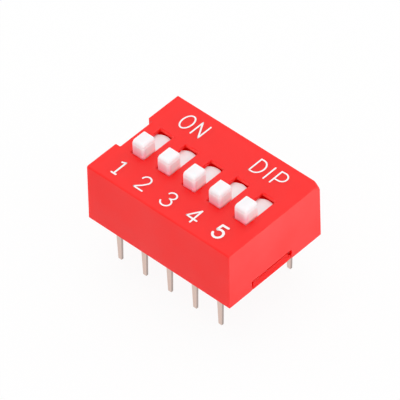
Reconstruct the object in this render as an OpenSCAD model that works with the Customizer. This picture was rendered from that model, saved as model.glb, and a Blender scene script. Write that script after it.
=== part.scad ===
// Five-way slide DIP switch for a printed circuit board, through-hole legs.
//
// Frame: origin at the centre of the grid of legs, on the seating plane where
// the housing meets the board. +X runs from way 1 to way 5, +Y points to the
// ON side, +Z points up. Every slider is drawn at OFF.

/* [Ways] */
// Number of switch ways
ways = 5; // [2:1:10]
// Distance from one way to the next
pitch = 2.54; // [2.54]
// Centre to centre distance of the two rows of legs
row_span = 7.62; // [7.62]
// Housing left over past the outer ways, both ends added
end_extra = 4.02; // [3.9:0.02:5.0]
// How far the housing sits towards +X from the middle of the legs
housing_shift = 0.06; // [0:0.01:0.15]

/* [Cover] */
// Housing width across the rows, at the underside
cover_w = 10.08; // [9.8:0.02:10.6]
// Housing height above the seating plane
cover_h = 5.35; // [5.1:0.05:6.0]
// Thickness of the roof that the slots go through
roof_t = 0.36; // [0.3:0.02:0.5]
// Thickness of the long walls
long_wall_t = 0.70; // [0.5:0.05:0.9]
// How far each long face leans in from the underside to the roof
long_lean = 0.08; // [0:0.01:0.15]
// How far each end face leans in from the underside to the roof
end_lean = 0.015; // [0:0.005:0.05]
// Size of the facet on the top corner beside ON and the last way
corner_cut = 0.45; // [0.2:0.05:0.7]

/* [Slots] */
// Slot width, along X
slot_w = 1.34; // [1.24:0.02:1.4]
// Slot end on the numbered side
slot_near = -1.75; // [-1.8:0.01:-1.7]
// Slot end on the ON side
slot_far = 1.55; // [1.55:0.01:1.6]
// How far sliders and pockets sit towards +X from the housing's middle
way_shift = 0.12; // [0:0.01:0.12]
// How far each slot sits towards way 1 from its slider's middle
slot_shift = 0.04; // [0:0.01:0.04]

/* [End notches] */
// Depth of the open groove down the first end
groove_depth = 0.46; // [0.2:0.02:0.6]
// Groove side nearer the numbers
groove_near = -1.82; // [-2.2:0.02:-1.4]
// Groove side nearer ON
groove_far = 1.72; // [1.4:0.02:2.2]
// Notch side nearer the numbers, under the last end
notch_near = -2.60; // [-2.8:0.05:-2.0]
// Notch side nearer ON, under the last end
notch_far = 1.75; // [1.4:0.05:2.2]
// Height of the notch under the last end
notch_h = 0.90; // [0.7:0.05:1.0]
// Height of the base's lower lip in that notch
lip_h = 0.40; // [0.2:0.05:0.6]
// How far the lower lip stands back from the end face
lip_back = 0.05; // [0.05:0.05:0.3]

/* [Sliders] */
// Slider travel from OFF to ON
travel = 1.82; // [1.7:0.01:1.82]
// Knob length, along the travel
knob_len = 1.35; // [1.1:0.01:1.35]
// Knob width, across the travel
knob_w = 1.10; // [0.9:0.02:1.12]
// How far the knob sits towards way 1 from its wing's middle
knob_shift = 0.02; // [0:0.01:0.04]
// Knob height above the roof
knob_proud = 1.22; // [1.15:0.01:1.5]
// Round on the knob's top edge, on the numbered side
round_near = 0.36; // [0.2:0.02:0.4]
// Round on the knob's top edge, on the ON side
round_far = 0.08; // [0.04:0.02:0.4]
// Round on the knob's top edge, towards way 1
round_left = 0.06; // [0.04:0.02:0.4]
// Round on the knob's top edge, towards the last way
round_right = 0.32; // [0.1:0.02:0.4]
// Height above the roof where the knob's cap sets back by a small step
step_z = 0.84; // [0.5:0.02:0.86]
// Depth of that step, on the numbered side and towards the last way
step_in = 0.03; // [0.01:0.01:0.05]
// Half length of the wing that slides under the roof
wing_reach = 2.50; // [2.3:0.05:2.5]
// Wing width
wing_w = 2.06; // [1.9:0.02:2.1]
// Wing thickness
wing_t = 0.30; // [0.25:0.05:0.6]

/* [Legs] */
// Leg length below the seating plane
leg_len = 4.05; // [3.0:0.05:4.5]
// Leg width, along the row
leg_w = 0.50; // [0.4:0.02:0.54]
// Leg width at the tip
tip_w = 0.34; // [0.26:0.02:0.38]
// Depth below the seating plane where the leg starts to narrow
taper_from = 1.60; // [0.5:0.1:2.5]
// Sheet thickness of the terminals
sheet_t = 0.22; // [0.2:0.01:0.26]

/* [Hidden] */
$fn = 48;
body_l = (ways - 1) * pitch + end_extra;
low_end = housing_shift - body_l / 2;
high_end = housing_shift + body_l / 2;
pocket_w = 2.20;
pocket_half_len = 4.20;
base_h = 1.10;
pad_w = 1.30;
pad_top = base_h + sheet_t;
slip = 0.03;
press = 0.02;
skirt_half_w = cover_w / 2 - long_wall_t;
skirt_near_x = way_x(1) - pocket_w / 2;
skirt_far_x = way_x(ways) + pocket_w / 2;
knob_clear = 0.06;
slider_y = slot_far - knob_clear - travel - knob_len / 2;
wing_top = cover_h - roof_t - 0.04;
knob_top = cover_h + knob_proud;
frame_half_len = 4.10;
frame_half_w = pocket_w / 2 - press;
frame_top = wing_top - wing_t - slip;
well_half_w = 0.80;
block_low = 2.35;
block_len = 1.60;
block_w = 1.50;
well_near = slider_y - block_len / 2 - knob_clear;
well_far = slider_y + travel + block_len / 2 + knob_clear;
tip_reach = 0.90;
tip_r = 0.16;
spring_reach = tip_reach + tip_r + knob_clear;
spring_room_top = 2.00;
front_pad_end = 0.25;
rear_pad_end = 1.10;
spring_t = 0.12;
spring_w = 1.00;
spring_slit = 0.18;
peg_r = 0.22;
red = [0.93, 0.13, 0.12];
dark_red = [0.80, 0.10, 0.09];
white = [0.96, 0.96, 0.94];
tinned = [0.78, 0.77, 0.76];
bronze = [0.80, 0.60, 0.36];

function leg_x(k) = (k - (ways + 1) / 2) * pitch;
function way_x(k) = leg_x(k) + housing_shift + way_shift;

// A box given by its two opposite corners.
module block(low, high) {
    translate(low) cube(high - low);
}

// Draws a flat shape in Y and Z, and carries it along X from x0 to x1.
module along_x(x0, x1) {
    translate([x0, 0, 0])
        rotate([90, 0, 90])
            linear_extrude(x1 - x0) children();
}

// Draws a flat shape in X and Z, and carries it along Y from y0 to y1.
module along_y(y0, y1) {
    translate([0, y1, 0])
        rotate([90, 0, 0])
            linear_extrude(y1 - y0) children();
}

// What a round takes off the corner at x, y. The signs say which way is out.
module corner_waste(x, y, sx, sy, r) {
    translate([x - sx * r, y - sy * r]) difference() {
        translate([sx * r, sy * r]) square(2 * r, center = true);
        circle(r);
    }
}

// A rectangle whose upper corners are round, each with its own radius.
module round_top(x0, x1, y0, y1, r0, r1) {
    difference() {
        translate([x0, y0]) square([x1 - x0, y1 - y0]);
        corner_waste(x0, y1, -1, 1, r0);
        corner_waste(x1, y1, 1, 1, r1);
    }
}

// The cover's outside: long faces and end faces lean in towards the roof.
module cover_outside() {
    w = cover_w / 2;
    intersection() {
        along_x(low_end, high_end)
            polygon([[-w, 0], [w, 0], [w - long_lean, cover_h], [-w + long_lean, cover_h]]);
        along_y(-w, w)
            polygon([[low_end, 0], [high_end, 0], [high_end - end_lean, cover_h], [low_end + end_lean, cover_h]]);
    }
}

// The facet that marks the top corner beside ON and the last way.
module corner_facet() {
    translate([high_end, cover_w / 2, cover_h])
        rotate([0, acos(1 / sqrt(3)), 45])
            translate([-1, -1, -(corner_cut + long_lean) / sqrt(3)]) cube(2);
}

// One moulded cover, open below: a pocket and a roof slot for each way.
module cover() {
    color(red)
    difference() {
        cover_outside();
        corner_facet();
        block([skirt_near_x, -skirt_half_w, -1], [skirt_far_x, skirt_half_w, base_h + press]);
        for (k = [1 : ways]) translate([way_x(k), 0, 0]) {
            block([-pocket_w / 2, -pocket_half_len, 0], [pocket_w / 2, pocket_half_len, cover_h - roof_t]);
            block([-slot_shift - slot_w / 2, slot_near, 0], [slot_w / 2 - slot_shift, slot_far, cover_h + 1]);
        }
        block([low_end - 1, groove_near, -1], [low_end + groove_depth, groove_far, cover_h + 1]);
        block([low_end - 1, groove_near, -1], [0, groove_far, notch_h]);
        block([0, notch_near, -1], [high_end + 1, notch_far, notch_h]);
    }
}

// One way's part of the base: a raised frame that the wing slides on, the well
// for the spring, and the rib between the two pads.
module way_frame() {
    difference() {
        block([-frame_half_w, -frame_half_len, base_h - 0.1], [frame_half_w, frame_half_len, frame_top]);
        block([-well_half_w, well_near, base_h], [well_half_w, well_far, frame_top + 1]);
        block([-well_half_w, slider_y - spring_reach, base_h],
              [well_half_w, slider_y + travel + spring_reach, spring_room_top]);
        block([-well_half_w, -frame_half_len - 1, base_h],
              [well_half_w, frame_half_len + 1, pad_top + press]);
    }
    block([-pad_w / 2, front_pad_end + press, base_h - 0.1],
          [pad_w / 2, rear_pad_end - press, pad_top - press]);
}

// One moulded base: it closes the cover from below and carries the terminals.
module base() {
    half_w = skirt_half_w - press;
    color(dark_red)
    difference() {
        union() {
            block([skirt_near_x + press, -half_w, 0], [skirt_far_x - press, half_w, base_h]);
            block([low_end + groove_depth + slip, groove_near + 0.15, 0],
                  [0, groove_far - 0.15, notch_h - 0.10]);
            block([0, notch_near + 0.15, 0], [high_end - slip, notch_far - 0.40, notch_h - 0.10]);
            block([0, notch_near + slip, 0], [high_end - lip_back, notch_far - slip, lip_h]);
            for (k = [1 : ways]) translate([way_x(k), 0, 0]) way_frame();
        }
        for (k = [1 : ways], side = [-1, 1])
            translate([leg_x(k), side * row_span / 2, 0])
                block([-leg_w / 2 - press, -sheet_t / 2 - press, -1],
                      [leg_w / 2 + press, sheet_t / 2 + press, base_h + 0.1]);
    }
}

// The knob seen from above, with its four upright edges rounded.
module knob_plan() {
    near_right = 0.22;
    far_left = 0.28;
    small = 0.08;
    half_l = knob_len / 2;
    half_w = knob_w / 2;
    difference() {
        square([knob_w, knob_len], center = true);
        corner_waste(half_w, -half_l, 1, -1, near_right);
        corner_waste(-half_w, -half_l, -1, -1, small);
        corner_waste(half_w, half_l, 1, 1, small);
        corner_waste(-half_w, half_l, -1, 1, far_left);
    }
}

// The knob: an upright body, and a cap that is rounded on all four sides.
module knob() {
    half_l = knob_len / 2;
    half_w = knob_w / 2;
    low = wing_top - 0.2;
    step = cover_h + step_z;
    translate([0, 0, low]) linear_extrude(step - low) knob_plan();
    intersection() {
        translate([-step_in, step_in, step - 0.1]) linear_extrude(2) knob_plan();
        along_x(-half_w, half_w)
            round_top(-half_l + step_in, half_l, low, knob_top, round_near, round_far);
        along_y(-half_l, half_l)
            round_top(-half_w, half_w - step_in, low, knob_top, round_left, round_right);
    }
}

// One moulded slider: knob, wing under the roof, and a block for the spring.
module slider(k) {
    color(white)
    translate([way_x(k), slider_y, 0]) {
        translate([-knob_shift, 0, 0]) knob();
        translate([0, 0, wing_top - wing_t]) linear_extrude(wing_t) intersection() {
            square([wing_w, 2 * wing_reach], center = true);
            union() {
                square([wing_w, 2 * wing_reach - wing_w], center = true);
                for (s = [-1, 1]) translate([0, s * (wing_reach - wing_w / 2)]) circle(wing_w / 2);
            }
        }
        block([-block_w / 2, -block_len / 2, block_low], [block_w / 2, block_len / 2, wing_top - wing_t / 2]);
        translate([0, 0, block_low - spring_t - 0.12]) cylinder(h = 1, r = peg_r);
    }
}

// One arm of the spring, from its flat middle down to the round tip.
module spring_arm() {
    tip_z = pad_top + slip + tip_r;
    along_x(-spring_w / 2, spring_w / 2)
        polygon([[0.20, block_low - spring_t], [0.20, block_low], [0.42, block_low],
                 [tip_reach + spring_t / 2, tip_z], [tip_reach - spring_t / 2, tip_z],
                 [0.36, block_low - spring_t]]);
    translate([0, tip_reach, tip_z]) rotate([0, 90, 0])
        cylinder(h = spring_w, r = tip_r, center = true);
}

// One sprung bridge: two pairs of fingers that slide on the terminal pads.
module contact(k) {
    color(bronze)
    translate([way_x(k), slider_y, 0]) difference() {
        union() {
            block([-spring_w / 2, -0.30, block_low - spring_t], [spring_w / 2, 0.30, block_low]);
            spring_arm();
            mirror([0, 1, 0]) spring_arm();
        }
        for (s = [-1, 1])
            translate([0, s * 1.25, 0])
                block([-spring_slit / 2, -0.75, 0], [spring_slit / 2, 0.75, block_low]);
        cylinder(h = 10, r = peg_r + press);
    }
}

// The terminal from the side: a pad, a bend and an upright leg.
module terminal_side(inner_end) {
    out = row_span / 2 + sheet_t / 2;
    inside = out - sheet_t;
    bend = sheet_t + 0.10;
    nip = 0.05;
    difference() {
        polygon([[inner_end, base_h], [inner_end, pad_top], [out, pad_top],
                 [out, -leg_len + nip], [out - nip, -leg_len],
                 [inside + nip, -leg_len], [inside, -leg_len + nip],
                 [inside, pad_top - bend], [out - bend, base_h]]);
        translate([out - bend, pad_top - bend]) {
            circle(bend - sheet_t);
            difference() {
                square(2 * bend);
                circle(bend);
            }
        }
    }
}

// The terminal from the end of the housing: a wide pad over a leg that narrows to its tip.
module terminal_front_view() {
    shift = housing_shift + way_shift;
    tip_round = 0.08;
    pad_low = base_h - 0.02;
    difference() {
        polygon([[shift - pad_w / 2, pad_low], [shift - pad_w / 2, pad_top + 0.1],
                 [shift + pad_w / 2, pad_top + 0.1], [shift + pad_w / 2, pad_low],
                 [leg_w / 2, pad_low], [leg_w / 2, -taper_from], [tip_w / 2, -leg_len - 0.01],
                 [-tip_w / 2, -leg_len - 0.01], [-leg_w / 2, -taper_from], [-leg_w / 2, pad_low]]);
        corner_waste(tip_w / 2, -leg_len, 1, -1, tip_round);
        corner_waste(-tip_w / 2, -leg_len, -1, -1, tip_round);
    }
}

// One terminal: a pad that lies on the base, bent down into a leg.
// It is drawn for the ON side and mirrored for the other.
module terminal(inner_end) {
    intersection() {
        along_x(-leg_w / 2 - pad_w, leg_w / 2 + pad_w) terminal_side(inner_end);
        along_y(-1, row_span) terminal_front_view();
    }
}

module terminal_front(k) {
    color(tinned) translate([leg_x(k), 0, 0]) mirror([0, 1, 0]) terminal(-front_pad_end);
}

module terminal_rear(k) {
    color(tinned) translate([leg_x(k), 0, 0]) terminal(rear_pad_end);
}

cover();
base();
for (k = [1 : ways]) {
    slider(k);
    contact(k);
    terminal_front(k);
    terminal_rear(k);
}
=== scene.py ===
"""Five-way slide DIP switch: a red moulded housing, white sliders, tinned legs and printed legends."""

import math

import bmesh
import bpy
from mathutils import Matrix, Quaternion, Vector


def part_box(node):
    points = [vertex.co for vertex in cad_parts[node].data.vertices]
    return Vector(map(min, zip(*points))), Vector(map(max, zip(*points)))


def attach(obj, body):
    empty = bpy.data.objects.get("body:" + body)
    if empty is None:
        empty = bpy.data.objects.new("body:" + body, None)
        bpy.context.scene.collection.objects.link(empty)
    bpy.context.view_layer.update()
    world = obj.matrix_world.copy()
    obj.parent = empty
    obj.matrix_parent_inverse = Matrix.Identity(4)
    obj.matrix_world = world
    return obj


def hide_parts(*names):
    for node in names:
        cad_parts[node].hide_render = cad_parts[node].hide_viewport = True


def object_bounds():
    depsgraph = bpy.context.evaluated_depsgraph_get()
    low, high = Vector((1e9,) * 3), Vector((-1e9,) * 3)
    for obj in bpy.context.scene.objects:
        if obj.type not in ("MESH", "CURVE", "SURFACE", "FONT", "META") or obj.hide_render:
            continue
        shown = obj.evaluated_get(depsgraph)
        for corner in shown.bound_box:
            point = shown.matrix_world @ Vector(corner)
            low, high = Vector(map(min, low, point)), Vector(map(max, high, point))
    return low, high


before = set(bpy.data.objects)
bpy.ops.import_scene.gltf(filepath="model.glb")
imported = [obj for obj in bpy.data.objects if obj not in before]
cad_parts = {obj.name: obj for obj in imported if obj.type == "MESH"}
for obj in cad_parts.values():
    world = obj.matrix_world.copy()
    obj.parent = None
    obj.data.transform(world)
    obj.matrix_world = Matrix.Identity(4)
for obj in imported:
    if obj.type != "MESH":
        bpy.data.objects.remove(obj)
cad_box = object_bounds()

# Sizes are in metres. X runs along the row of switches, Y across it towards ON, Z up from the seat.
# LOW, HIGH and TOP are heights above the seat, and NEAR and FAR are places along Y, unless it says otherwise.
MM = 0.001
WAYS = 5
PITCH = 2.54 * MM
ROW_SPAN = 7.62 * MM
HOUSING_SHIFT = 0.06 * MM  # the housing's middle, from the middle of the leg grid
WAY_SHIFT = 0.12 * MM  # the row of sliders, from the housing's middle
COVER_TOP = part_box("cover")[1].z  # the roof

# Workbench
HAIR = 1e-7  # places closer than this are the same place
FACING = 0.9  # a face looks along an axis when its normal has more than this share of it
PLAY = 0.02 * MM  # between the base and the pieces that it meets
OVERLAP = 0.1 * MM  # how far one box reaches into the next, so that they join
PAST = 0.5 * MM  # how far a cutting box reaches past an inner wall
BEYOND = 1 * MM  # how far a cutting box, or what will be trimmed, reaches out of the piece
FLAT_TURN = math.radians(0.5)  # edges that turn by less are taken out
SMOOTH_TURN = math.radians(35)  # edges that turn by less are shaded smooth

# Cover
LONG_LEAN = 0.08 * MM
END_LEAN = 0.015 * MM
ROOF_THICK = 0.36 * MM
ROOF_EDGE_ROUND = 0.15 * MM
CORNER_CUT = 0.53 * MM
CORNER_ROUND = 0.14 * MM
COVER_EDGE = 0.05 * MM
SIDE_WALL = 0.70 * MM
POCKET_WIDE = 2.20 * MM
POCKET_HALF = 4.20 * MM
POCKET_LOW = 0.5 * MM
SLOT_WIDE = 1.34 * MM
SLOT_SHIFT = 0.04 * MM
SLOT_NEAR = -1.75 * MM
SLOT_FAR = 1.55 * MM
GROOVE_DEEP = 0.46 * MM
GROOVE_NEAR = -1.82 * MM
GROOVE_FAR = 1.72 * MM
NOTCH_NEAR = -2.60 * MM
NOTCH_FAR = 1.75 * MM
NOTCH_HIGH = 0.90 * MM
SKIRT_HIGH = 1.12 * MM

# Base
BASE_EDGE = 0.03 * MM
FLOOR_HIGH = 1.10 * MM
LIP_HIGH = 0.40 * MM
LIP_BACK = 0.05 * MM
LIP_SIDE_GAP = 0.03 * MM
TONGUE_TOP_GAP = 0.10 * MM
TONGUE_SIDE_GAP = 0.15 * MM
TONGUE_FAR_GAP = 0.40 * MM
FRAME_HALF_LONG = 4.10 * MM
FRAME_HALF_WIDE = 1.08 * MM
FRAME_HIGH = 4.62 * MM
WELL_HALF_WIDE = 0.80 * MM
WELL_NEAR = -1.865 * MM
WELL_FAR = 1.675 * MM
SPRING_NEAR = -2.125 * MM
SPRING_FAR = 1.935 * MM
SPRING_ROOM_TOP = 2.00 * MM
PAD_CUT_HALF = 5 * MM  # the cut for the pads runs right through
RIB_WIDE = 1.30 * MM
RIB_NEAR = 0.27 * MM
RIB_FAR = 1.08 * MM
RIB_LOW = 0.5 * MM
EJECTOR_Y = 1.9 * MM
EJECTOR_RADIUS = 0.55 * MM
EJECTOR_TOOL = 0.12 * MM  # half of it goes into the base

# Slider
SLIDER_EDGE = 0.025 * MM
KNOB_LONG = 1.35 * MM
KNOB_WIDE = 1.10 * MM
KNOB_SHIFT = 0.02 * MM
KNOB_ROOT = 0.2 * MM  # how far the knob's post reaches into the wing
KNOB_STEP_HIGH = 0.84 * MM  # above the cover's top
KNOB_STEP_IN = 0.03 * MM
KNOB_REACH = 2 * MM
KNOB_SIDE = 0.9  # an edge is at the knob's side when it lies further out than this share
NEAR_CORNER_ROUND = 0.22 * MM
FAR_CORNER_ROUND = 0.28 * MM
SMALL_ROUND = 0.08 * MM
TOP_NEAR_ROUND = 0.36 * MM
TOP_LEFT_ROUND = 0.06 * MM
TOP_RIGHT_ROUND = 0.32 * MM
WING_DEEP = 0.40 * MM  # the wing's top, below the cover's top
WING_THICK = 0.30 * MM
WING_WIDE = 2.06 * MM
BLOCK_LONG = 1.60 * MM
BLOCK_WIDE = 1.50 * MM
BLOCK_LOW = 2.35 * MM

# Terminals
TERMINAL_EDGE = 0.02 * MM
SHEET = 0.22 * MM
BEND_INSIDE = 0.10 * MM
LEG_WIDE = 0.50 * MM
TIP_WIDE = 0.34 * MM
TIP_CUT = 0.06 * MM
TAPER_FROM = -1.60 * MM

# Printing
INK_THICK = 0.022 * MM
INK_LIFT = 0.004 * MM
STROKE_END_SHARE = 0.8  # the height of a stroke's round end, as a share of the stroke's thickness
LOOP_GAP = 1e-6  # a stroke whose ends are closer than this, in millimetres, is a loop


def leg_x(way):
    return (way - (WAYS + 1) / 2) * PITCH


def way_x(way):
    return leg_x(way) + HOUSING_SHIFT + WAY_SHIFT


def pocket_row():
    """Where the row of pockets begins and ends along X."""
    return way_x(1) - POCKET_WIDE / 2, way_x(WAYS) + POCKET_WIDE / 2


# ---------------------------------------------------------------- workbench


def clear():
    bpy.ops.object.select_all(action="DESELECT")


def hold(piece):
    """Selects one piece and makes it the active one."""
    clear()
    piece.select_set(True)
    bpy.context.view_layer.objects.active = piece


def settle(piece):
    """Puts the piece's place, turn and size into its mesh."""
    hold(piece)
    bpy.ops.object.transform_apply(location=True, rotation=True, scale=True)


def box(name, low, high):
    """A cube primitive that fills the space between two corners."""
    low, high = Vector(low), Vector(high)
    clear()
    bpy.ops.mesh.primitive_cube_add(size=1, location=(low + high) / 2)
    piece = bpy.context.object
    piece.name = name
    piece.scale = high - low
    settle(piece)
    return piece


def rod(name, centre, radius, height, sides=48):
    """An upright cylinder primitive."""
    clear()
    bpy.ops.mesh.primitive_cylinder_add(vertices=sides, radius=radius, depth=height, location=centre)
    piece = bpy.context.object
    piece.name = name
    settle(piece)
    return piece


def pick(piece, kind, test):
    """In edit mode, selects the faces, edges or corners that pass the test."""
    bpy.ops.mesh.select_mode(type={"faces": "FACE", "edges": "EDGE", "verts": "VERT"}[kind])
    bpy.ops.mesh.select_all(action="DESELECT")
    mesh = bmesh.from_edit_mesh(piece.data)
    for part in getattr(mesh, kind):
        if test(part):
            part.select_set(True)
    mesh.select_flush_mode()
    bmesh.update_edit_mesh(piece.data)


def pick_all():
    bpy.ops.mesh.select_all(action="SELECT")


def middle(edge):
    return (edge.verts[0].co + edge.verts[1].co) / 2


def edit(piece):
    hold(piece)
    bpy.ops.object.mode_set(mode="EDIT")


def done():
    bpy.ops.object.mode_set(mode="OBJECT")


def round_picked(width, segments):
    """In edit mode, rounds the selected edges."""
    bpy.ops.mesh.bevel(offset=width, segments=segments, profile=0.5)


def round_edges(piece, test, width, segments=8):
    """In object mode, rounds the straight edges whose middle passes the test."""
    edit(piece)
    pick(piece, "edges", lambda e: test(middle(e)))
    round_picked(width, segments)
    done()


def join(name, *parts):
    """Makes several pieces one object, shells kept."""
    clear()
    for part in parts:
        part.select_set(True)
    bpy.context.view_layer.objects.active = parts[0]
    bpy.ops.object.join()
    parts[0].name = name
    return parts[0]


def carve(piece, tool, how="DIFFERENCE"):
    """Cuts the tool out of the piece, welds it on, or keeps what both share. The tool is put away."""
    hold(piece)
    work = piece.modifiers.new("carve", "BOOLEAN")
    work.operation = how
    work.solver = "EXACT"
    work.object = tool
    bpy.ops.object.modifier_apply(modifier=work.name)
    bpy.data.objects.remove(tool, do_unlink=True)


def cut(piece, low, high):
    """Cuts the box between two corners out of the piece."""
    carve(piece, box("cut", low, high))


def weld(piece, low, high):
    """Welds the box between two corners onto the piece."""
    carve(piece, box("weld", low, high), "UNION")


def around(x, half_wide, near, far, low, high):
    """Two corners of a box whose middle is at x, from near to far and from low to high."""
    return (x - half_wide, near, low), (x + half_wide, far, high)


def soften(piece, width, segments=2, angle=30):
    """Rounds every edge that turns by more than the angle, and smooths the rounds."""
    edit(piece)
    pick_all()
    bpy.ops.mesh.remove_doubles(threshold=HAIR)
    bpy.ops.mesh.dissolve_limited(angle_limit=FLAT_TURN)
    bpy.ops.mesh.normals_make_consistent(inside=False)
    done()
    work = piece.modifiers.new("soften", "BEVEL")
    work.width = width
    work.segments = segments
    work.limit_method = "ANGLE"
    work.angle_limit = math.radians(angle)
    work.use_clamp_overlap = True
    work.miter_outer = "MITER_ARC"
    bpy.ops.object.modifier_apply(modifier=work.name)
    hold(piece)
    bpy.ops.object.shade_smooth_by_angle(angle=SMOOTH_TURN)
    even = piece.modifiers.new("even", "WEIGHTED_NORMAL")
    even.keep_sharp = True
    bpy.ops.object.modifier_apply(modifier=even.name)


def copy_to(piece, name, offset):
    """A copy with its own mesh, moved by the offset."""
    clear()
    twin = piece.copy()
    twin.data = piece.data.copy()
    twin.name = name
    bpy.context.collection.objects.link(twin)
    twin.data.transform(Matrix.Translation(offset))
    return twin


# ---------------------------------------------------------------- pieces


def cut_corner(piece, corner):
    """In edit mode, slices the roof's far right corner off and rounds the slice's edges."""
    slant = Vector((1, 1, 1)).normalized()
    deep = CORNER_CUT / math.sqrt(3)
    bpy.ops.mesh.bisect(plane_co=corner - slant * deep, plane_no=slant, use_fill=True, clear_outer=True)

    def on_slice(v):
        return abs((v.co - corner).dot(slant) + deep) < HAIR

    pick(piece, "edges", lambda e: all(on_slice(v) for v in e.verts))
    round_picked(CORNER_ROUND, 4)


def make_cover():
    """The red moulding with the roof: slots above the sliders, pockets and a wide opening below."""
    low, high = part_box("cover")
    cover = box("cover_moulding", low, high)
    edit(cover)
    pick(cover, "faces", lambda f: f.normal.z > FACING)
    long_x, wide_y = high.x - low.x, high.y - low.y
    bpy.ops.transform.resize(
        value=((long_x - 2 * END_LEAN) / long_x, (wide_y - 2 * LONG_LEAN) / wide_y, 1),
        center_override=((low.x + high.x) / 2, 0, high.z),
    )
    pick(cover, "edges", lambda e: middle(e).z > high.z - HAIR and middle(e).y < low.y / 2)
    round_picked(ROOF_EDGE_ROUND, 4)
    pick_all()
    cut_corner(cover, Vector((high.x, high.y, high.z)))
    done()
    roof = high.z - ROOF_THICK
    above = high.z + BEYOND
    row_low, row_high = pocket_row()
    skirt_y = high.y - SIDE_WALL
    cut(cover, (row_low, -skirt_y, -BEYOND), (row_high, skirt_y, SKIRT_HIGH))
    for way in range(1, WAYS + 1):
        x = way_x(way)
        cut(cover, *around(x, POCKET_WIDE / 2, -POCKET_HALF, POCKET_HALF, POCKET_LOW, roof))
        cut(cover, *around(x - SLOT_SHIFT, SLOT_WIDE / 2, SLOT_NEAR, SLOT_FAR, roof - PAST, above))
    # The groove up the left end, the notch at its foot, and the notch at the right end's foot.
    left, right = low.x - BEYOND, high.x + BEYOND
    cut(cover, (left, GROOVE_NEAR, -BEYOND), (low.x + GROOVE_DEEP, GROOVE_FAR, above))
    cut(cover, (left, GROOVE_NEAR, -BEYOND), (row_low + PAST, GROOVE_FAR, NOTCH_HIGH))
    cut(cover, (row_high - PAST, NOTCH_NEAR, -BEYOND), (right, NOTCH_FAR, NOTCH_HIGH))
    soften(cover, COVER_EDGE)
    return cover


def make_base():
    """The red moulding below: a floor with a tongue at each end, and a frame round each slider."""
    low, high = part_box("base")
    row_low, row_high = pocket_row()
    base = box("base_moulding", (row_low + PLAY, low.y, 0), (row_high - PLAY, high.y, FLOOR_HIGH))
    # A tongue into each of the cover's end notches, and a low lip across the right one.
    tongue_top = NOTCH_HIGH - TONGUE_TOP_GAP
    weld(base, (low.x, GROOVE_NEAR + TONGUE_SIDE_GAP, 0), (0, GROOVE_FAR - TONGUE_SIDE_GAP, tongue_top))
    weld(base, (0, NOTCH_NEAR + TONGUE_SIDE_GAP, 0), (high.x, NOTCH_FAR - TONGUE_FAR_GAP, tongue_top))
    lip_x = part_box("cover")[1].x - LIP_BACK
    weld(base, (0, NOTCH_NEAR + LIP_SIDE_GAP, 0), (lip_x, NOTCH_FAR - LIP_SIDE_GAP, LIP_HIGH))
    frame_low, frame_over = FLOOR_HIGH - OVERLAP, FRAME_HIGH + BEYOND
    pad_top = FLOOR_HIGH + SHEET
    for way in range(1, WAYS + 1):
        x = way_x(way)
        # The frame, its well, the spring's room, the cut for the pads and the rib between the pads.
        weld(base, *around(x, FRAME_HALF_WIDE, -FRAME_HALF_LONG, FRAME_HALF_LONG, frame_low, FRAME_HIGH))
        cut(base, *around(x, WELL_HALF_WIDE, WELL_NEAR, WELL_FAR, FLOOR_HIGH, frame_over))
        cut(base, *around(x, WELL_HALF_WIDE, SPRING_NEAR, SPRING_FAR, FLOOR_HIGH, SPRING_ROOM_TOP))
        cut(base, *around(x, WELL_HALF_WIDE, -PAD_CUT_HALF, PAD_CUT_HALF, FLOOR_HIGH, pad_top + PLAY))
        weld(base, *around(x, RIB_WIDE / 2, RIB_NEAR, RIB_FAR, RIB_LOW, pad_top - PLAY))
        # Holes for the way's two legs.
        half_x, half_y = LEG_WIDE / 2 + PLAY, SHEET / 2 + PLAY
        for y in (-ROW_SPAN / 2, ROW_SPAN / 2):
            cut(base, *around(leg_x(way), half_x, y - half_y, y + half_y, -BEYOND, FLOOR_HIGH + OVERLAP))
    # Shallow round marks in the underside, where the mould's ejector pins push.
    for x in (-2 * PITCH, 0, 2 * PITCH):
        for y in (-EJECTOR_Y, EJECTOR_Y):
            carve(base, rod("ejector_mark", (x, y, 0), EJECTOR_RADIUS, EJECTOR_TOOL))
    soften(base, BASE_EDGE)
    return base


def knob_post(x, y, low, top):
    """An upright post with the knob's plan: two opposite corners are rounded broadly, the others slightly."""
    half_x, half_y = KNOB_WIDE / 2, KNOB_LONG / 2
    post = box("post", (x - half_x, y - half_y, low), (x + half_x, y + half_y, top))
    level = (low + top) / 2

    def upright(c):
        return abs(c.z - level) < HAIR

    def at_small_corner(c):
        return upright(c) and (c.x - x) * (c.y - y) > KNOB_SIDE * half_x * half_y

    round_edges(post, lambda c: upright(c) and c.x > x and c.y < y, NEAR_CORNER_ROUND)
    round_edges(post, lambda c: upright(c) and c.x < x and c.y > y, FAR_CORNER_ROUND)
    round_edges(post, at_small_corner, SMALL_ROUND, 4)
    return post


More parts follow.
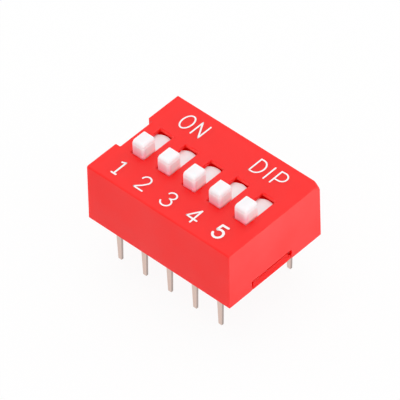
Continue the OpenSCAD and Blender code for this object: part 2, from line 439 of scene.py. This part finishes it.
def make_slider():
    """The slider of the first way: knob, wing and spring block."""
    low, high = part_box("slider_1")
    x, y = way_x(1), (low.y + high.y) / 2
    wing_top = COVER_TOP - WING_DEEP
    wing_level = wing_top - WING_THICK / 2
    stretch = (high.y - low.y) / 2 - WING_WIDE / 2
    wing = rod("slider_moulding", (x, y, wing_level), WING_WIDE / 2, WING_THICK, 64)
    edit(wing)
    for side in (-1, 1):
        pick(wing, "verts", lambda v: (v.co.y - y) * side > HAIR)
        bpy.ops.transform.translate(value=(0, side * stretch, 0))
    done()
    weld(wing, *around(x, BLOCK_WIDE / 2, y - BLOCK_LONG / 2, y + BLOCK_LONG / 2, BLOCK_LOW, wing_level))
    x -= KNOB_SHIFT
    half_x, half_y = KNOB_WIDE / 2, KNOB_LONG / 2
    step = COVER_TOP + KNOB_STEP_HIGH
    bottom = step - OVERLAP

    def round_top(piece, axis, side, width):
        """Rounds the top edge on one side of a box over the knob, along X (0) or Y (1)."""
        reach = KNOB_SIDE * (half_x, half_y)[axis]
        centre = (x, y)[axis]
        round_edges(piece, lambda c: abs(c.z - high.z) < HAIR and (c[axis] - centre) * side > reach, width)

    # Above the step the knob is drawn in on its near and right sides, and its top edges are rounded.
    cap = knob_post(x - KNOB_STEP_IN, y + KNOB_STEP_IN, bottom, high.z + BEYOND)
    along = box("along", *around(x, KNOB_REACH, y - half_y + KNOB_STEP_IN, y + half_y, bottom, high.z))
    round_top(along, 1, -1, TOP_NEAR_ROUND)
    round_top(along, 1, 1, SMALL_ROUND)
    carve(cap, along, "INTERSECT")
    right = x + half_x - KNOB_STEP_IN
    across = box("across", (x - half_x, y - KNOB_REACH, bottom), (right, y + KNOB_REACH, high.z))
    round_top(across, 0, -1, TOP_LEFT_ROUND)
    round_top(across, 0, 1, TOP_RIGHT_ROUND)
    carve(cap, across, "INTERSECT")
    knob = knob_post(x, y, wing_top - KNOB_ROOT, step)
    carve(knob, cap, "UNION")
    carve(wing, knob, "UNION")
    soften(wing, SLIDER_EDGE, angle=40)
    return wing


def make_terminal(way, side):
    """A pad on the base, bent down into a leg. The side is -1 for the front row, 1 for the rear row."""
    row = "front" if side < 0 else "rear"
    low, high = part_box(f"terminal_{row}_{way}")
    x = leg_x(way)
    outer = ROW_SPAN / 2 + SHEET / 2
    bend = SHEET + BEND_INSIDE
    top = high.z
    inner = high.y if side < 0 else low.y
    bend_y = side * (outer - bend)
    bend_z = top - bend
    near, far = sorted((inner, bend_y))
    strip = box(f"{row}_terminal_{way}", (low.x, near, top - SHEET), (high.x, far, top))
    edit(strip)
    pick(strip, "faces", lambda f: f.normal.y * side > FACING)
    bpy.ops.mesh.spin(steps=6, angle=side * math.pi / 2, center=(x, bend_y, bend_z), axis=(1, 0, 0))
    pick_all()
    bpy.ops.mesh.remove_doubles(threshold=HAIR)
    # Two cuts mark the leg's width in the bent strip. The end between them is drawn down to the tip.
    for leg_side in (x - LEG_WIDE / 2, x + LEG_WIDE / 2):
        pick_all()
        bpy.ops.mesh.bisect(plane_co=(leg_side, 0, 0), plane_no=(1, 0, 0))

    def leg_end(f):
        c = f.calc_center_median()
        return f.normal.z < -FACING and abs(c.z - bend_z) < HAIR and abs(c.x - x) < LEG_WIDE / 2

    pick(strip, "faces", leg_end)
    for drop in (TAPER_FROM - bend_z, low.z - TAPER_FROM):
        bpy.ops.mesh.extrude_region_move(TRANSFORM_OT_translate={"value": (0, 0, drop)})
    bpy.ops.transform.resize(value=(TIP_WIDE / LEG_WIDE, 1, 1), center_override=(x, 0, low.z))
    pick(strip, "edges", lambda e: abs(middle(e).z - low.z) < HAIR)
    round_picked(TIP_CUT, 3)
    pick_all()
    bpy.ops.mesh.normals_make_consistent(inside=False)
    done()
    soften(strip, TERMINAL_EDGE, angle=40)
    return strip


def arc(x, y, wide, high, start, end, steps=16):
    """Points along an oval's outline, by its centre and half sizes, from one angle to another."""
    turns = [math.radians(start + (end - start) * n / steps) for n in range(steps + 1)]
    return [(x + wide * math.cos(t), y + high * math.sin(t)) for t in turns]


# Each marking: its stroke width and its strokes, in millimetres from the middle of the roof.
MARKINGS = {
    "letter_O": (0.13, [arc(-4.615, 3.335, 0.46, 0.735, 0, 360, 32)]),
    "letter_N": (
        0.13,
        [
            [(-3.68, 2.62), (-3.68, 4.04)],
            [(-3.68, 4.02), (-2.91, 2.64)],
            [(-2.91, 2.62), (-2.91, 4.04)],
        ],
    ),
    "letter_D": (
        0.13,
        [
            [(2.16, 2.64), (2.16, 4.05)],
            [(2.16, 4.05), *arc(2.42, 3.35, 0.58, 0.715, 90, -90), (2.16, 2.63)],
        ],
    ),
    "letter_I": (0.13, [[(3.54, 2.66), (3.54, 4.04)]]),
    "letter_P": (
        0.13,
        [
            [(4.15, 2.68), (4.15, 4.07)],
            [(4.15, 4.07), *arc(4.52, 3.645, 0.46, 0.455, 90, -90), (4.15, 3.17)],
        ],
    ),
    "number_1": (
        0.15,
        [
            [(-5.36, -2.95), (-5.22, -2.89), (-5.08, -2.82)],
            [(-5.08, -2.84), (-5.08, -4.17)],
            [(-5.29, -4.19), (-4.87, -4.18)],
        ],
    ),
    "number_2": (
        0.135,
        [
            [*arc(-2.71, -3.17, 0.38, 0.38, 178, -28), (-2.62, -3.72), (-3.06, -4.16)],
            [(-3.06, -4.17), (-2.24, -4.18)],
        ],
    ),
    "number_3": (
        0.135,
        [arc(-0.19, -3.09, 0.36, 0.32, 172, -88), arc(-0.19, -3.82, 0.44, 0.40, 86, -160)],
    ),
    "number_4": (
        0.15,
        [
            [(2.50, -2.80), (1.88, -3.78)],
            [(1.88, -3.79), (2.84, -3.81)],
            [(2.50, -2.80), (2.53, -4.17)],
        ],
    ),
    "number_5": (
        0.20,
        [
            [(5.10, -2.84), (4.57, -2.86)],
            [(4.57, -2.86), (4.52, -3.36)],
            arc(4.86, -3.71, 0.40, 0.42, 135, -162),
        ],
    ),
}


def draw_stroke(width, points):
    """The parts of one stroke, in millimetres: a tube along its points, with round ends if it is no loop."""
    loop = math.dist(points[0], points[-1]) < LOOP_GAP
    corners = points[:-1] if loop else points
    clear()
    bpy.ops.curve.primitive_bezier_curve_add()
    line = bpy.context.object
    line.data.splines.clear()
    path = line.data.splines.new("POLY")
    path.points.add(len(corners) - 1)
    for point, (x, y) in zip(path.points, corners):
        point.co = (x, y, 0, 1)
    path.use_cyclic_u = loop
    line.data.bevel_depth = width / 2
    line.data.bevel_resolution = 2
    line.data.use_fill_caps = True
    hold(line)
    bpy.ops.object.convert(target="MESH")
    parts = [bpy.context.object]
    if not loop:
        for end in (points[0], points[-1]):
            parts.append(rod("end", (*end, 0), width / 2, width * STROKE_END_SHARE, 16))
    return parts


def make_marking(name, width, strokes):
    """One printed marking: flattened strokes of ink on the roof."""
    parts = []
    for stroke in strokes:
        parts += draw_stroke(width, stroke)
    ink = join(name, *parts)
    ink.scale = (MM, MM, INK_THICK / width)
    ink.location = (HOUSING_SHIFT, 0, COVER_TOP + INK_LIFT)
    settle(ink)
    edit(ink)
    pick_all()
    bpy.ops.mesh.remove_doubles(threshold=HAIR)
    bpy.ops.mesh.normals_make_consistent(inside=False)
    done()
    bpy.ops.object.shade_smooth_by_angle(angle=SMOOTH_TURN)
    return ink


# ---------------------------------------------------------------- finishes


def new_group(name, inputs, outputs):
    """An empty shader node group with the named sockets, and its input and output nodes."""
    group = bpy.data.node_groups.new(name, "ShaderNodeTree")
    for label, kind, value in inputs:
        socket = group.interface.new_socket(name=label, in_out="INPUT", socket_type=kind)
        socket.default_value = value
    for label in outputs:
        group.interface.new_socket(name=label, in_out="OUTPUT", socket_type="NodeSocketFloat")
    return group, group.nodes.new("NodeGroupInput"), group.nodes.new("NodeGroupOutput")


def fill(tree, node, inputs):
    """Fills a node's inputs: another node's output is linked, and anything else is set as a value."""
    for key, given in inputs.items():
        if isinstance(given, bpy.types.NodeSocket):
            tree.links.new(given, node.inputs[key])
        else:
            node.inputs[key].default_value = given


def new_node(tree, kind, inputs):
    """A shader node with its inputs filled."""
    node = tree.nodes.new(f"ShaderNode{kind}")
    fill(tree, node, inputs)
    return node


def reckon(tree, kind, operation, *given):
    """A step of arithmetic on numbers (Math) or on vectors (VectorMath)."""
    node = tree.nodes.new(f"ShaderNode{kind}")
    node.operation = operation
    fill(tree, node, dict(enumerate(given)))
    return node


def use_group(tree, group, inputs):
    """A node group put to use in a material, with its inputs filled."""
    node = tree.nodes.new("ShaderNodeGroup")
    node.node_tree = group
    fill(tree, node, inputs)
    return node


def fine_grain():
    """Surface grain of a moulding or a strip: a height for bump and a slow tone drift, both from 0 to 1."""
    group, given, out = new_group(
        "fine_grain",
        [
            ("Grains per Metre", "NodeSocketFloat", 9000.0),
            ("Drifts per Metre", "NodeSocketFloat", 260.0),
            ("Stretch", "NodeSocketVector", (1.0, 1.0, 1.0)),
        ],
        ["Height", "Drift"],
    )
    place = group.nodes.new("ShaderNodeTexCoord").outputs["Object"]
    stretched = reckon(group, "VectorMath", "MULTIPLY", place, given.outputs["Stretch"]).outputs[0]
    for label, detail, socket in (("Grains per Metre", 3.0, "Height"), ("Drifts per Metre", 2.0, "Drift")):
        settings = {"Detail": detail, "Roughness": 0.55, "Vector": stretched, "Scale": given.outputs[label]}
        noise = new_node(group, "TexNoise", settings)
        group.links.new(noise.outputs["Fac"], out.inputs[socket])
    return group


def edge_wear_and_highlight():
    """A mask that is 1 on a rounded edge and 0 on a flat face. The edges it marks are made lighter: partly
    wear, partly painted highlight.
    """
    group, given, out = new_group(
        "edge_wear_and_highlight",
        [("Reach", "NodeSocketFloat", 0.08 * MM), ("Gain", "NodeSocketFloat", 4.0)],
        ["Mask"],
    )
    rounded = new_node(group, "Bevel", {"Radius": given.outputs["Reach"]})
    rounded.samples = 4
    flat = group.nodes.new("ShaderNodeNewGeometry")
    normals = rounded.outputs["Normal"], flat.outputs["True Normal"]
    alike = reckon(group, "VectorMath", "DOT_PRODUCT", *normals).outputs["Value"]
    turned = reckon(group, "Math", "SUBTRACT", 1.0, alike).outputs[0]
    gain = reckon(group, "Math", "MULTIPLY", turned, given.outputs["Gain"])
    gain.use_clamp = True
    group.links.new(gain.outputs[0], out.inputs["Mask"])
    return group


def sheared_and_shaded_side():
    """A mask that is 1 on faces that look along X, where the strip was cut. These cut sides are made darker:
    partly bare cut metal, partly painted shade.
    """
    group, _, out = new_group("sheared_and_shaded_side", [], ["Mask"])
    normal = group.nodes.new("ShaderNodeTexCoord").outputs["Normal"]
    axes = new_node(group, "SeparateXYZ", {0: normal})
    size = reckon(group, "Math", "ABSOLUTE", axes.outputs[0]).outputs[0]
    fade = new_node(group, "MapRange", {"From Min": 0.6, "From Max": 0.9, "Value": size})
    group.links.new(fade.outputs["Result"], out.inputs["Mask"])
    return group


def within():
    """A mask that is 1 inside a box of object space and 0 outside it, with a soft border."""
    group, given, out = new_group(
        "within",
        [
            ("Middle", "NodeSocketVector", (0.0, 0.0, 0.0)),
            ("Half Size", "NodeSocketVector", (1.0, 1.0, 1.0)),
            ("Border", "NodeSocketVector", (0.0001, 0.0001, 0.0001)),
        ],
        ["Mask"],
    )
    place = group.nodes.new("ShaderNodeTexCoord").outputs["Object"]
    offset = reckon(group, "VectorMath", "SUBTRACT", place, given.outputs["Middle"]).outputs[0]
    size = reckon(group, "VectorMath", "ABSOLUTE", offset).outputs[0]
    room = reckon(group, "VectorMath", "SUBTRACT", given.outputs["Half Size"], size).outputs[0]
    share = reckon(group, "VectorMath", "DIVIDE", room, given.outputs["Border"]).outputs[0]
    axes = new_node(group, "SeparateXYZ", {0: share})
    least = axes.outputs[0]
    for axis in (1, 2):
        least = reckon(group, "Math", "MINIMUM", least, axes.outputs[axis]).outputs[0]
    fade = group.nodes.new("ShaderNodeMapRange")
    fade.interpolation_type = "SMOOTHSTEP"
    fill(group, fade, {"Value": least})
    group.links.new(fade.outputs["Result"], out.inputs["Mask"])
    return group


GRAIN = fine_grain()
EDGE = edge_wear_and_highlight()
WITHIN = within()
SHEARED_AND_SHADED = sheared_and_shaded_side()


def mix_colour(tree, mask, low, high):
    """A colour that goes from low to high with the mask."""
    mix = tree.nodes.new("ShaderNodeMix")
    mix.data_type = "RGBA"
    low, high = ((*colour, 1.0) if isinstance(colour, tuple) else colour for colour in (low, high))
    fill(tree, mix, {"Factor": mask, "A": low, "B": high})
    return mix.outputs["Result"]


def zone_mask(tree, zone):
    """The mask of one box of object space, given by its middle, half size and border in metres."""
    return use_group(tree, WITHIN, dict(zip(("Middle", "Half Size", "Border"), zone))).outputs["Mask"]


def finish_material(
    name,
    dark,
    light,
    edge,
    rough,
    bump,
    grains=9000.0,
    stretch=(1.0, 1.0, 1.0),
    metal=0.0,
    specular=0.5,
    depth=None,
    painted_bounce=None,
    glow=(),
    sheared_and_shaded=None,
):
    """A material whose colour drifts slightly, with edges made lighter (partly wear, partly painted
    highlight), grain bump and uneven gloss.

    The grains are counted per metre. The depth is how far red, green and blue light travel inside a
    moulding, in millimetres. The painted bounce is a tint and the zone it fills: painted red light
    bounced from the cover. The glow is painted light: emission in pairs of a tint and its zone, standing
    in for light that comes through thin walls. The cut-side colour darkens a strip's cut sides: partly
    bare cut metal, partly painted shade.
    """
    material = bpy.data.materials.new(name)
    material.use_nodes = True
    tree = material.node_tree
    skin = use_group(tree, GRAIN, {"Grains per Metre": grains, "Stretch": stretch}).outputs
    # Lighter edges: partly wear, partly painted highlight.
    corner = use_group(tree, EDGE, {}).outputs["Mask"]
    colour = mix_colour(tree, skin["Drift"], dark, light)
    colour = mix_colour(tree, corner, colour, edge)
    # Painted bounce light: a pink tint on the knob's near side, for red light bounced from the cover.
    if painted_bounce:
        tint, zone = painted_bounce
        colour = mix_colour(tree, zone_mask(tree, zone), colour, tint)
    # Cut sides darker: partly bare cut metal, partly painted shade.
    if sheared_and_shaded:
        cut_side_and_shade = use_group(tree, SHEARED_AND_SHADED, {}).outputs["Mask"]
        colour = mix_colour(tree, cut_side_and_shade, colour, sheared_and_shaded)
    gloss = {"From Min": 0.3, "From Max": 0.7, "To Min": rough[0], "To Max": rough[1], "Value": skin["Drift"]}
    relief = {"Strength": bump, "Distance": 0.01 * MM, "Height": skin["Height"]}
    shader = tree.nodes["Principled BSDF"]
    settings = {
        "Base Color": colour,
        "Roughness": new_node(tree, "MapRange", gloss).outputs["Result"],
        "Normal": new_node(tree, "Bump", relief).outputs["Normal"],
        "Metallic": metal,
        "Specular IOR Level": specular,
    }
    if depth:
        settings |= {"Subsurface Weight": 1.0, "Subsurface Radius": depth, "Subsurface Scale": MM}
    # Painted light: emission in the zones, standing in for light that comes through thin red walls.
    if glow:
        painted_glow = (0.0, 0.0, 0.0)
        for tint, zone in glow:
            painted_glow = mix_colour(tree, zone_mask(tree, zone), painted_glow, tint)
        settings |= {"Emission Color": painted_glow, "Emission Strength": 1.0}
    fill(tree, shader, settings)
    return material


def dress(piece, material):
    piece.data.materials.clear()
    piece.data.materials.append(material)


# Zones of object space: each has a middle, a half size and a soft border.
ROW_MIDDLE = HOUSING_SHIFT + WAY_SHIFT
ROW_HALF = 6.3 * MM
EVERY_X = 50 * MM  # takes in the whole row
# Painted glow in the pockets.
PAINTED_GLOW_POCKETS = (
    (ROW_MIDDLE, 0.0, 2.8 * MM),
    (ROW_HALF, 4.3 * MM, 2.25 * MM),
    (0.05 * MM, 0.05 * MM, 0.05 * MM),
)
# Painted glow on the slots' far walls, just below the roof's top edge.
PAINTED_GLOW_SLOT_WALLS = (
    (ROW_MIDDLE, SLOT_FAR, COVER_TOP - ROOF_THICK / 2 - 0.03 * MM),
    (ROW_HALF, 0.03 * MM, ROOF_THICK / 2),
    (0.05 * MM, 0.01 * MM, 0.04 * MM),
)
# Painted bounce: the knob's near side, where a pink tint stands in for red light bounced from the cover.
KNOB_PAINTED_BOUNCE = (
    (0.0, -1.68 * MM, COVER_TOP),
    (EVERY_X, 0.45 * MM, 1.05 * MM),
    (MM, 0.40 * MM, 1.05 * MM),
)
# Painted glow at the knob's foot, for red light through the cover.
PAINTED_GLOW_KNOB_FOOT = (
    (0.0, -1.0 * MM, COVER_TOP),
    (EVERY_X, 1.2 * MM, 0.30 * MM),
    (MM, 0.40 * MM, 0.30 * MM),
)

RED_DEPTH = (0.45, 0.05, 0.05)
PAINTED_GLOW_POCKET_TINT = (0.08, 0.0, 0.0)
STRIP_GRAINS = 5000.0

# The red moulding has painted glow in the pockets and on the slots' far walls.
RED = finish_material(
    "red_moulding",
    dark=(0.90, 0.002, 0.001),
    light=(0.95, 0.003, 0.001),
    edge=(0.96, 0.02, 0.018),
    rough=(0.38, 0.48),
    bump=0.25,
    specular=0.46,
    depth=RED_DEPTH,
    glow=((PAINTED_GLOW_POCKET_TINT, PAINTED_GLOW_POCKETS), ((0.26, 0.025, 0.02), PAINTED_GLOW_SLOT_WALLS)),
)
# The base's red is darker than the cover's: painted shade for the tongues, which sit back in the end notches.
RED_BASE = finish_material(
    "red_base_moulding",
    dark=(0.80, 0.005, 0.004),
    light=(0.86, 0.007, 0.006),
    edge=(0.90, 0.03, 0.025),
    rough=(0.50, 0.60),
    bump=0.25,
    specular=0.2,
    depth=RED_DEPTH,
    glow=((PAINTED_GLOW_POCKET_TINT, PAINTED_GLOW_POCKETS),),
)
# Painted light on the knobs: a pink tint for bounce light on the near side, and a red glow at the foot.
WHITE = finish_material(
    "white_moulding",
    dark=(0.85, 0.84, 0.86),
    light=(0.91, 0.90, 0.92),
    edge=(0.94, 0.93, 0.95),
    rough=(0.30, 0.42),
    bump=0.2,
    depth=(0.30, 0.20, 0.20),
    painted_bounce=((0.88, 0.50, 0.60), KNOB_PAINTED_BOUNCE),
    glow=(((0.22, 0.0, 0.0), PAINTED_GLOW_KNOB_FOOT),),
)
TIN = finish_material(
    "tin_plate",
    dark=(0.65, 0.50, 0.435),
    light=(0.77, 0.60, 0.53),
    edge=(0.85, 0.71, 0.65),
    rough=(0.30, 0.46),
    bump=0.4,
    grains=STRIP_GRAINS,
    stretch=(1.0, 1.0, 0.12),
    metal=1.0,
    sheared_and_shaded=(0.45, 0.36, 0.325),
)
BRONZE = finish_material(
    "spring_bronze",
    dark=(0.62, 0.36, 0.16),
    light=(0.74, 0.46, 0.22),
    edge=(0.85, 0.60, 0.34),
    rough=(0.22, 0.34),
    bump=0.3,
    grains=STRIP_GRAINS,
    stretch=(1.0, 0.15, 1.0),
    metal=1.0,
)
INK = finish_material(
    "white_ink",
    dark=(0.90, 0.84, 0.85),
    light=(0.95, 0.91, 0.91),
    edge=(0.96, 0.90, 0.91),
    rough=(0.5, 0.6),
    bump=0.3,
)

# ---------------------------------------------------------------- assembly

cover = make_cover()
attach(cover, "housing")
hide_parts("cover")
dress(cover, RED)

base = make_base()
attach(base, "housing")
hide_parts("base")
dress(base, RED_BASE)

slider = make_slider()
sliders = [slider]
for way in range(2, WAYS + 1):
    sliders.append(copy_to(slider, f"slider_moulding_{way}", (PITCH * (way - 1), 0, 0)))
slider.name = "slider_moulding_1"
for way, piece in enumerate(sliders, 1):
    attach(piece, f"switch_{way}")
    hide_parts(f"slider_{way}")
    dress(piece, WHITE)

for way in range(1, WAYS + 1):
    for side, row in ((-1, "front"), (1, "rear")):
        terminal = make_terminal(way, side)
        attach(terminal, "housing")
        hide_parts(f"terminal_{row}_{way}")
        dress(terminal, TIN)
    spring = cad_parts[f"contact_{way}"]
    spring.data.materials.clear()
    spring.data.materials.append(BRONZE)

for name, (width, strokes) in MARKINGS.items():
    ink = make_marking(name, width, strokes)
    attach(ink, "housing")
    dress(ink, INK)

# ---------------------------------------------------------------- studio

FLOOR_SIZE = 1.2
FLOOR_TONE = 0.90
FLOOR_OWN_LIGHT = 0.92  # the share of the floor that the camera sees as plain white
LAMP_SIZE = 0.40
SENSOR_WIDE = 36  # millimetres
NEAREST, FURTHEST = 0.01, 10  # what the camera sees


def make_floor(height):
    """A pale floor that mostly looks white by itself to the camera and in reflections."""
    clear()
    bpy.ops.mesh.primitive_plane_add(size=FLOOR_SIZE, location=(0, 0, height))
    floor = bpy.context.object
    floor.name = "studio_floor"
    material = bpy.data.materials.new("pale_floor")
    material.use_nodes = True
    tree = material.node_tree
    tree.nodes.clear()
    paint = new_node(tree, "BsdfDiffuse", {"Color": (FLOOR_TONE, FLOOR_TONE, FLOOR_TONE, 1)})
    glow = new_node(tree, "Emission", {"Color": (1, 1, 1, 1), "Strength": 1.0})
    rays = tree.nodes.new("ShaderNodeLightPath").outputs
    seen = reckon(tree, "Math", "MAXIMUM", rays["Is Camera Ray"], rays["Is Glossy Ray"]).outputs[0]
    share = reckon(tree, "Math", "MULTIPLY", seen, FLOOR_OWN_LIGHT).outputs[0]
    mix = new_node(tree, "MixShader", {"Fac": share, 1: paint.outputs[0], 2: glow.outputs[0]})
    new_node(tree, "OutputMaterial", {"Surface": mix.outputs[0]})
    floor.data.materials.append(material)


def make_lamp(name, place, size, power, aim=(0, 0, 0)):
    """A soft square lamp that the camera doesn't see."""
    clear()
    bpy.ops.object.light_add(type="AREA", location=place)
    lamp = bpy.context.object
    lamp.name = name
    lamp.data.size = size
    lamp.data.energy = power
    lamp.visible_camera = False
    lamp.rotation_mode = "QUATERNION"
    lamp.rotation_quaternion = (Vector(aim) - Vector(place)).to_track_quat("-Z", "Y")


def make_camera(azimuth, elevation, roll, distance, lens, aim):
    """A long lens that looks at the aim point. The angles are in degrees, and the lens is in millimetres."""
    turn, rise = math.radians(azimuth), math.radians(elevation)
    back = Vector((math.sin(turn) * math.cos(rise), -math.cos(turn) * math.cos(rise), math.sin(rise)))
    clear()
    bpy.ops.object.camera_add(location=Vector(aim) + back * distance)
    camera = bpy.context.object
    camera.data.lens = lens
    camera.data.sensor_width = SENSOR_WIDE
    camera.data.clip_start, camera.data.clip_end = NEAREST, FURTHEST
    camera.rotation_mode = "QUATERNION"
    level = (-back).to_track_quat("-Z", "Y")
    camera.rotation_quaternion = level @ Quaternion((0, 0, 1), math.radians(roll))
    bpy.context.scene.camera = camera


def make_surroundings(strength):
    """An even white surrounding light, and plain colours on screen."""
    scene = bpy.context.scene
    scene.world = scene.world or bpy.data.worlds.new("studio")
    scene.world.use_nodes = True
    tree = scene.world.node_tree
    fill(tree, tree.nodes["Background"], {"Color": (1, 1, 1, 1), "Strength": strength})
    scene.view_settings.view_transform = "Standard"


make_floor(cad_box[0].z)
make_lamp("key_lamp", (-0.10, 0.10, 0.60), size=LAMP_SIZE, power=0.5)
make_lamp("fill_lamp", (0.50, 0.05, 0.16), size=LAMP_SIZE, power=0.30)
# The end card is a small soft light, low beyond the right-hand end, where the camera does not look.
make_lamp(
    "end_card",
    (13 * MM, 5 * MM, -3.9 * MM),
    size=15 * MM,
    power=0.00058,
    aim=(12 * MM, 5 * MM, 0),
)
make_surroundings(0.94)
make_camera(
    azimuth=43.79,
    elevation=45.39,
    roll=-1.815,
    distance=318.98 * MM,
    lens=387.78,
    aim=(-0.65 * MM, 0.336 * MM, 2.0 * MM),
)
